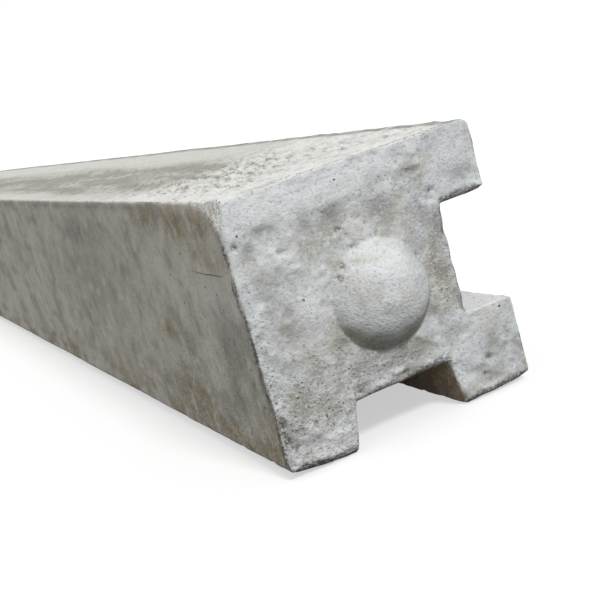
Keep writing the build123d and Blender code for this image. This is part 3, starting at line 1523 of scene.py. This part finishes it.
class Bench:
    """Makes the nodes of one material or world."""

    def __init__(self, tree: bpy.types.NodeTree) -> None:
        """Start with an empty tree.

        Args:
            tree: The node tree to fill.
        """
        self.tree = tree
        tree.nodes.clear()

    def node(self, kind: str, settings: dict | None = None, sockets: dict | None = None) -> bpy.types.Node:
        """Make a node.

        Args:
            kind: The node's type.
            settings: Its own settings, set first.
            sockets: Values or links of its inputs, by name or number.

        Returns:
            The node.
        """
        made = self.tree.nodes.new(kind)
        for name, value in (settings or {}).items():
            setattr(made, name, value)
        for key, value in (sockets or {}).items():
            if isinstance(value, Val):
                self.tree.links.new(value.socket, made.inputs[key])
            elif isinstance(value, Socket):
                self.tree.links.new(value, made.inputs[key])
            else:
                made.inputs[key].default_value = value
        return made

    def mask(self, name: Mask) -> Val:
        """Read a value kept on the post's points."""
        made = self.node("ShaderNodeAttribute", {"attribute_name": name.value})
        return Val(self, made.outputs["Fac"])

    def parts(self, place: Socket) -> tuple[Val, ...]:
        """Take a place apart into x, y and z."""
        made = self.node("ShaderNodeSeparateXYZ", None, {"Vector": place})
        return tuple(Val(self, made.outputs[name]) for name in "XYZ")

    def stretched(self, place: Socket, size: LumpSize) -> Socket:
        """Divide a place by a lump size.

        Args:
            place: The place.
            size: Lump size, the same each way or one for each axis.

        Returns:
            The stretched place.
        """
        sizes = size if isinstance(size, tuple) else (size, size, size)
        made = self.node("ShaderNodeVectorMath", {"operation": "DIVIDE"}, {0: place, 1: sizes})
        return made.outputs[0]

    def noise(self, place: Socket, pattern: Pattern) -> Val:
        """Add noise of about 0 to 1.

        Args:
            place: Where on the surface.
            pattern: The kind of noise.

        Returns:
            The noise.
        """
        made = self.node("ShaderNodeTexNoise", None, {
            "Vector": self.stretched(place, pattern.size),
            "Scale": 1.0,
            "Detail": pattern.detail,
            "Roughness": pattern.rough,
        })
        return Val(self, made.outputs["Fac"])

    def cells(self, place: Socket, size: LumpSize) -> tuple[Val, Val]:
        """Add a field of cells.

        Args:
            place: Where on the surface.
            size: Cell size, the same each way or one for each axis.

        Returns:
            Distance to the nearest cell's middle, in cells, and a chance of 0 to 1 for each cell.
        """
        inputs = {"Vector": self.stretched(place, size), "Scale": 1.0}
        made = self.node("ShaderNodeTexVoronoi", None, inputs)
        parts = self.node("ShaderNodeSeparateColor", None, {"Color": made.outputs["Color"]})
        return Val(self, made.outputs["Distance"]), Val(self, parts.outputs["Red"])

    def eased(self, value: Val, fade: Fade) -> Val:
        """Ease a value.

        Args:
            value: The value.
            fade: Where it starts and ends, and what it ends at.

        Returns:
            The eased value.
        """
        made = self.node("ShaderNodeMapRange", {"interpolation_type": "SMOOTHSTEP"}, {
            "Value": value,
            "From Min": fade.start,
            "From Max": fade.end,
            "To Min": 0.0,
            "To Max": fade.most,
        })
        return Val(self, made.outputs["Result"])

    def tint(self, share: Val, under: Socket | Colour, over: Socket | Colour) -> Socket:
        """Lay one colour over another.

        Args:
            share: How much of the upper colour shows.
            under: The colour below.
            over: The colour above.

        Returns:
            The mixed colour.
        """
        # A Mix node repeats its sockets' names for each kind of value, so its colours go by number
        inputs = {0: share, 6: self.full(under), 7: self.full(over)}
        return self.node("ShaderNodeMix", {"data_type": "RGBA"}, inputs).outputs[2]

    @staticmethod
    def full(colour: Socket | Colour) -> Socket | tuple[float, ...]:
        """Give a plain colour its alpha."""
        return (*colour, 1.0) if isinstance(colour, tuple) else colour


@dataclass(frozen=True)
class CastFace:
    """Colours of one cast face, its blotches, and the order in which patches are laid on it."""

    bare: Colour
    smudge_and_shade: Colour
    pale: Colour
    stain: Colour
    dark_blotch: Fade
    pale_blotch: Fade
    laid: tuple[Mask, ...]

    def colour(self, bench: Bench, blotch: Val, patches: dict[Mask, Val]) -> Socket:
        """Colour the face.

        Args:
            bench: The material's bench.
            blotch: Noise of the blotches.
            patches: How much of each kind of patch shows.

        Returns:
            The colour.
        """
        tints = {Mask.SMUDGE_AND_SHADE: self.smudge_and_shade, Mask.PALE: self.pale, Mask.STAIN: self.stain}
        colour = bench.tint(bench.eased(blotch, self.dark_blotch), self.bare, self.smudge_and_shade)
        colour = bench.tint(bench.eased(blotch, self.pale_blotch), colour, self.pale)
        for mask in self.laid:
            colour = bench.tint(patches[mask], colour, tints[mask])
        return colour


@dataclass
class Ground:
    """What the concrete's colours and relief are made from."""

    bench: Bench
    place: Socket
    blotch: Val
    tone: Val
    sand: Val
    rough: Val
    ball: Val


@dataclass(frozen=True)
class CastConcrete:
    """Weathered grey concrete: cast faces, a trowelled face, worn arrises, pits and stains, with painted
    shade in the pits and nicks and under the lower arrises.
    """

    top_y: float
    end_face: CastFace = CastFace(
        bare=(0.542, 0.568, 0.585),
        smudge_and_shade=(0.240, 0.243, 0.237),
        pale=(0.695, 0.712, 0.722),
        stain=(0.350, 0.330, 0.250),
        dark_blotch=Fade(0.52, 0.70, 0.45),
        pale_blotch=Fade(0.46, 0.32, 0.55),
        laid=(Mask.STAIN, Mask.PALE, Mask.SMUDGE_AND_SHADE),
    )
    side_face: CastFace = CastFace(
        bare=(0.540, 0.534, 0.455),
        smudge_and_shade=(0.215, 0.210, 0.186),
        pale=(0.665, 0.645, 0.590),
        stain=(0.310, 0.235, 0.140),
        dark_blotch=Fade(0.51, 0.66, 0.45),
        pale_blotch=Fade(0.46, 0.34, 0.60),
        laid=(Mask.PALE, Mask.SMUDGE_AND_SHADE, Mask.STAIN),
    )
    slot_earth: Colour = (0.430, 0.300, 0.155)
    float_finish: Colour = (0.660, 0.658, 0.638)
    float_dirt: Colour = (0.254, 0.248, 0.208)
    grains: Colour = (0.700, 0.695, 0.670)
    specks: Colour = (0.215, 0.210, 0.190)
    # Dark for holes, pits, nicks and the crack, partly dirt and partly painted shade, and painted shade under
    # the lower arrises
    grime_and_shade: Colour = (0.085, 0.080, 0.066)
    roughness: float = 0.9
    specular: float = 0.25

    # Noise, and how it breaks the patches
    blotch: Pattern = Pattern(12.0 * MM, 6.0, 0.7)
    tone: Pattern = Pattern(7.0 * MM, 6.0, 0.75)
    sand: Pattern = Pattern(1.4 * MM, 2.0, 0.7)
    smudge_break: Fade = Fade(0.42, 0.54, 0.55)
    stain_break: Fade = Fade(0.38, 0.54, 0.55)
    pale_break: Fade = Fade(0.64, 0.44, 0.65)
    slot_break: Fade = Fade(0.25, 0.55, 0.95)
    nick_break: Fade = Fade(0.68, 0.42)

    # Dark specks and pale grains
    least_speckle: float = 0.35
    ball_clean: float = 0.4
    tone_specks: Fade = Fade(0.52, 0.38, 0.40)
    tone_grains: Fade = Fade(0.48, 0.62, 0.40)
    sand_specks: Fade = Fade(0.42, 0.34, 0.80)
    sand_grains: Fade = Fade(0.58, 0.68, 0.60)

    # Scattered air holes
    hole_spacing: float = 6.5 * MM
    hole_waver: float = 0.12
    hole_rim: Fade = Fade(0.17, 0.11)
    hole_chance: Fade = Fade(0.82, 0.88)
    hole_dark: float = 0.8

    # Close pits and bare grains where the concrete is rough
    pit_spacing: float = 1.6 * MM
    pit_waver: float = 0.7
    pit_rim: Fade = Fade(0.62, 0.46)
    pit_rough: Fade = Fade(0.55, 0.95)
    pit_chance: Fade = Fade(0.56, 0.62)
    pit_cluster: Fade = Fade(0.38, 0.54)
    pit_dark: float = 0.75
    pit_clean_ball: float = 0.5
    bare_grain_chance: Fade = Fade(0.32, 0.26, 0.6)

    # The fine crack on the left side, from the end inwards
    crack_level: float = 86.5 * MM
    crack_width: float = 0.5 * MM
    crack_wander: float = 2.0 * MM
    crack_start: float = 10.0 * MM
    crack_end: float = 50.0 * MM
    crack_run_in: float = 4.0 * MM
    crack_run_out: float = 12.0 * MM
    crack_face: Fade = Fade(-56.0 * MM, -57.0 * MM)
    crack_dark: float = 0.5

    # The trowelled face: torn dirt near the end, and a soft dirty cloud farther off
    torn: Pattern = Pattern((6.5 * MM, 10.0 * MM, 6.5 * MM), 5.0, 0.7)
    cluster: Pattern = Pattern((30.0 * MM, 50.0 * MM, 30.0 * MM), 2.0)
    soft: Pattern = Pattern((16.0 * MM, 110.0 * MM, 16.0 * MM))
    near_end: Fade = Fade(0.40, 0.68)
    cluster_edge: Fade = Fade(0.40, 0.58)
    torn_hollow: Fade = Fade(0.40, 0.64, 0.9)
    torn_clump: Fade = Fade(0.50, 0.62, 0.65)
    torn_mark: Fade = Fade(0.54, 0.64, 0.65)
    cloud_least: float = 0.38
    cloud_edge: Fade = Fade(0.38, 0.58, 0.50)
    far_dirt: float = 0.36
    lip_break: Fade = Fade(0.2, 0.5)

    # Bump
    bump_depth: float = 1.0 * MM
    tone_bump: float = 0.30
    rough_tone_bump: float = 0.35
    ball_tone_bump: float = 0.4
    sand_bump: float = 0.12
    rough_sand_bump: float = 0.7
    hole_bump: float = 0.8
    pit_bump: float = 0.5
    crack_bump: float = 0.5

    def make(self) -> bpy.types.Material:
        """Make the material.

        Returns:
            The concrete.
        """
        material = bpy.data.materials.new("cast_concrete")
        material.use_nodes = True
        bench = Bench(material.node_tree)
        place = bench.node("ShaderNodeTexCoord").outputs["Object"]
        noises = (bench.noise(place, pattern) for pattern in (self.blotch, self.tone, self.sand))
        ground = Ground(bench, place, *noises, bench.mask(Mask.ROUGH), bench.mask(Mask.BALL))

        holes = self.holes(ground)
        bare_grains, pits = self.pits(ground)
        crack = self.crack(ground)
        nick_and_shade = bench.mask(Mask.NICK_AND_SHADE) * bench.eased(ground.sand, self.nick_break)
        colour = self.speckled(ground, self.faces(ground))
        # Air holes, pits, nicks and the crack are darkened, partly as dirt and partly as painted shade in
        # these recesses; the same dark paints the shade under the lower arrises
        colour = bench.tint(holes * self.hole_dark, colour, self.grime_and_shade)
        colour = bench.tint(bare_grains, colour, self.grains)
        colour = bench.tint(pits * self.pit_dark, colour, self.grime_and_shade)
        colour = bench.tint(nick_and_shade.most(crack * self.crack_dark), colour, self.grime_and_shade)

        fine = ground.sand * (self.sand_bump + self.rough_sand_bump * ground.rough)
        fine = fine - holes * self.hole_bump - pits * self.pit_bump - crack * self.crack_bump
        coarse = self.tone_bump + self.rough_tone_bump * ground.rough - self.ball_tone_bump * ground.ball
        relief = ground.tone * coarse + fine
        inputs = {"Height": relief, "Distance": self.bump_depth, "Strength": 1.0}
        bump = bench.node("ShaderNodeBump", None, inputs)
        skin = bench.node("ShaderNodeBsdfPrincipled", None, {
            "Base Color": colour,
            "Roughness": self.roughness,
            "Specular IOR Level": self.specular,
            "Normal": bump.outputs["Normal"],
        })
        bench.node("ShaderNodeOutputMaterial", None, {"Surface": skin.outputs["BSDF"]})
        return material

    def faces(self, ground: Ground) -> Socket:
        """Colour the cast faces, the trowelled face and the bed slot.

        Args:
            ground: What the colours are made from.

        Returns:
            The colour, without its specks.
        """
        bench, blotch = ground.bench, ground.blotch
        breaks = {
            Mask.SMUDGE_AND_SHADE: (ground.tone, self.smudge_break),
            Mask.STAIN: (blotch, self.stain_break),
            Mask.PALE: (ground.tone, self.pale_break),
        }
        patches = {
            mask: bench.mask(mask) * (1 - fade.most + bench.eased(noise, fade))
            for mask, (noise, fade) in breaks.items()
        }
        end = bench.mask(Mask.END)
        side_colour = self.side_face.colour(bench, blotch, patches)
        colour = bench.tint(end, side_colour, self.end_face.colour(bench, blotch, patches))
        colour = bench.tint(bench.mask(Mask.TROWELLED) * (1 - end), colour, self.trowelled(ground))
        in_slot = bench.mask(Mask.BED_SLOT) * (1 - end) * bench.eased(blotch, self.slot_break)
        return bench.tint(in_slot, colour, self.slot_earth)

    def speckled(self, ground: Ground, colour: Socket) -> Socket:
        """Lay dark specks and pale grains on a colour.

        Args:
            ground: What they are made from.
            colour: The colour.

        Returns:
            The speckled colour.
        """
        bench = ground.bench
        strength = self.least_speckle + (1 - self.least_speckle) * ground.rough
        strength = strength * (1 - self.ball_clean * ground.ball)
        for noise, fade, speck in (
            (ground.tone, self.tone_specks, self.specks),
            (ground.tone, self.tone_grains, self.grains),
            (ground.sand, self.sand_specks, self.specks),
            (ground.sand, self.sand_grains, self.grains),
        ):
            colour = bench.tint(bench.eased(noise, fade) * strength, colour, speck)
        return colour

    def holes(self, ground: Ground) -> Val:
        """Scatter air holes.

        Args:
            ground: What they are made from.

        Returns:
            Where they are.
        """
        bench = ground.bench
        away, chance = bench.cells(ground.place, self.hole_spacing)
        rim = bench.eased(away + ground.tone * self.hole_waver, self.hole_rim)
        return rim * bench.eased(chance, self.hole_chance)

    def pits(self, ground: Ground) -> tuple[Val, Val]:
        """Scatter bare grains and close pits where the concrete is rough.

        Args:
            ground: What they are made from.

        Returns:
            Where the grains are, and where the pits are.
        """
        bench = ground.bench
        away, chance = bench.cells(ground.place, self.pit_spacing)
        close = bench.eased(away + ground.sand * self.pit_waver, self.pit_rim)
        close = close * bench.eased(ground.rough, self.pit_rough) * (1 - self.pit_clean_ball * ground.ball)
        pits = close * bench.eased(chance, self.pit_chance) * bench.eased(ground.blotch, self.pit_cluster)
        return close * bench.eased(chance, self.bare_grain_chance), pits

    def crack(self, ground: Ground) -> Val:
        """Mark the fine crack that runs in from the end on the left side.

        Args:
            ground: What it is made from.

        Returns:
            Where it is.
        """
        bench = ground.bench
        x, y, z = bench.parts(ground.place)
        level = z + ground.tone * self.crack_wander
        start, end = self.top_y + self.crack_start, self.top_y + self.crack_end
        line = bench.eased(level, Fade(self.crack_level - self.crack_width, self.crack_level))
        line = line * bench.eased(level, Fade(self.crack_level + self.crack_width, self.crack_level))
        run = bench.eased(y, Fade(start, start + self.crack_run_in))
        run = run * bench.eased(y, Fade(end, end - self.crack_run_out))
        return line * run * bench.eased(x, self.crack_face)

    def trowelled(self, ground: Ground) -> Socket:
        """Colour the trowelled face: pale float finish with dirt in its hollows, crisp near the end.

        Args:
            ground: What the colour is made from.

        Returns:
            The colour.
        """
        bench = ground.bench
        x, y, _ = bench.parts(ground.place)
        aslant = bench.node("ShaderNodeCombineXYZ", None, {"X": x, "Y": y - x * TROWEL_SLANT}).outputs[0]
        torn = bench.noise(aslant, self.torn)
        cluster = bench.eased(bench.noise(aslant, self.cluster), self.cluster_edge)
        soft = bench.noise(ground.place, self.soft)
        near = bench.eased(ground.rough, self.near_end)
        cloud = (self.cloud_least + bench.eased(soft, self.cloud_edge)) * (1 - near)
        broken = bench.eased(torn, self.torn_hollow) * near + cloud + bench.eased(torn, self.torn_clump)
        dirt = bench.mask(Mask.HOLLOW) * broken + bench.eased(torn, self.torn_mark) * near * cluster
        dirt = dirt + self.far_dirt * (1 - near)
        colour = bench.tint(dirt, self.float_finish, self.float_dirt)
        lip = bench.mask(Mask.SMUDGE_AND_SHADE) * bench.eased(ground.blotch, self.lip_break)
        return bench.tint(lip, colour, self.specks)


@dataclass(frozen=True)
class Studio:
    """A pale floor, soft light and the camera at the photograph's angle."""

    floor_size: float = 40.0
    floor_seen: float = 0.92
    floor_bounce: float = 0.10
    floor_glow: float = 0.55
    sky: float = 0.74
    lamp_strength: float = 2.30
    lamp_softness: float = math.radians(12.0)
    lamp_from: tuple[float, float, float] = (0.06, -0.70, 0.71)
    camera_place: tuple[float, float, float] = (-199.9 * MM, -1626.3 * MM, 163.0 * MM)
    camera_yaw: float = math.radians(21.47)
    camera_pitch: float = math.radians(-11.80)
    camera_roll: float = math.radians(-16.19)
    camera_lens: float = 70.63
    camera_sensor: float = 36.0

    def build(self) -> None:
        """Set up the floor, the light and the camera, and show colours as they are."""
        self.floor()
        self.light()
        self.camera()
        bpy.context.scene.view_settings.view_transform = "Standard"

    def floor(self) -> None:
        """Lay the floor: nearly white to the camera, darker in the light that it sends back."""
        half = self.floor_size / 2
        corners = [(-half, -half, 0), (half, -half, 0), (half, half, 0), (-half, half, 0)]
        mesh = bpy.data.meshes.new("floor")
        mesh.from_pydata(corners, [], [(0, 1, 2, 3)])
        floor = bpy.data.objects.new("floor", mesh)
        bpy.context.scene.collection.objects.link(floor)
        material = bpy.data.materials.new("pale_floor")
        material.use_nodes = True
        bench = Bench(material.node_tree)
        seen = self.seen(bench)
        colour = bench.tint(seen, (self.floor_bounce,) * 3, (self.floor_seen,) * 3)
        matt = bench.node("ShaderNodeBsdfDiffuse", None, {"Color": colour})
        glow = bench.node("ShaderNodeEmission", None, {"Strength": 1.0})
        skin = bench.node("ShaderNodeMixShader", None, {
            0: seen * self.floor_glow,
            1: matt.outputs["BSDF"],
            2: glow.outputs["Emission"],
        })
        bench.node("ShaderNodeOutputMaterial", None, {"Surface": skin.outputs["Shader"]})
        mesh.materials.append(material)

    @staticmethod
    def seen(bench: Bench) -> Val:
        """Tell rays that show the background from those that light the post.

        Args:
            bench: The bench of the floor or the sky.

        Returns:
            1 where the background shows.
        """
        path = bench.node("ShaderNodeLightPath")
        kinds = ("Is Camera Ray", "Is Glossy Ray", "Is Transmission Ray")
        camera, glossy, through = (Val(bench, path.outputs[kind]) for kind in kinds)
        return camera.most(glossy).most(through)

    def light(self) -> None:
        """Set the sky and the lamp."""
        world = bpy.data.worlds.new("soft_sky")
        world.use_nodes = True
        bench = Bench(world.node_tree)
        colour = bench.tint(self.seen(bench), (self.sky,) * 3, (1.0, 1.0, 1.0))
        glow = bench.node("ShaderNodeBackground", None, {"Color": colour, "Strength": 1.0})
        bench.node("ShaderNodeOutputWorld", None, {"Surface": glow.outputs["Background"]})
        bpy.context.scene.world = world
        lamp = bpy.data.lights.new("soft_lamp", "SUN")
        lamp.energy = self.lamp_strength
        lamp.angle = self.lamp_softness
        holder = bpy.data.objects.new("soft_lamp", lamp)
        holder.rotation_mode = "QUATERNION"
        holder.rotation_quaternion = Vector(self.lamp_from).to_track_quat("Z", "Y")
        bpy.context.scene.collection.objects.link(holder)

    def camera(self) -> None:
        """Place the camera."""
        yaw, pitch, roll = self.camera_yaw, self.camera_pitch, self.camera_roll
        look = Vector((math.sin(yaw) * math.cos(pitch), math.cos(yaw) * math.cos(pitch), math.sin(pitch)))
        level = Vector((math.cos(yaw), -math.sin(yaw), 0.0))
        right = level * math.cos(roll) + level.cross(look) * math.sin(roll)
        up = right.cross(look)
        turn = Matrix((right, up, -look)).transposed()
        lens = bpy.data.cameras.new("camera")
        lens.sensor_width = self.camera_sensor
        lens.lens = self.camera_lens
        holder = bpy.data.objects.new("camera", lens)
        holder.matrix_world = Matrix.Translation(self.camera_place) @ turn.to_4x4()
        bpy.context.scene.collection.objects.link(holder)
        bpy.context.scene.camera = holder


def main() -> None:
    """Build the post and the studio in order, and report each."""
    logging.basicConfig(level=logging.INFO, format="%(message)s")
    low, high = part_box("post")
    grain = Grain(GRAIN_SEED)
    section = SectionShape(high.x - low.x, high.z - low.z)
    top_y = low.y + EndFace.ball_rise
    end_face = EndFace(grain, section)
    walls = Walls(grain, section, top_y)
    post = CastPost(section, end_face, walls, grain, top_y, high.y).build()
    post.data.materials.append(CastConcrete(top_y).make())
    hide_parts("post")
    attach(post, "root")
    log.info("%s: %d points, %d faces", post.name, len(post.data.vertices), len(post.data.polygons))
    Studio().build()
    log.info("studio: floor, sky, lamp and camera")


if __name__ == "__main__":
    main()
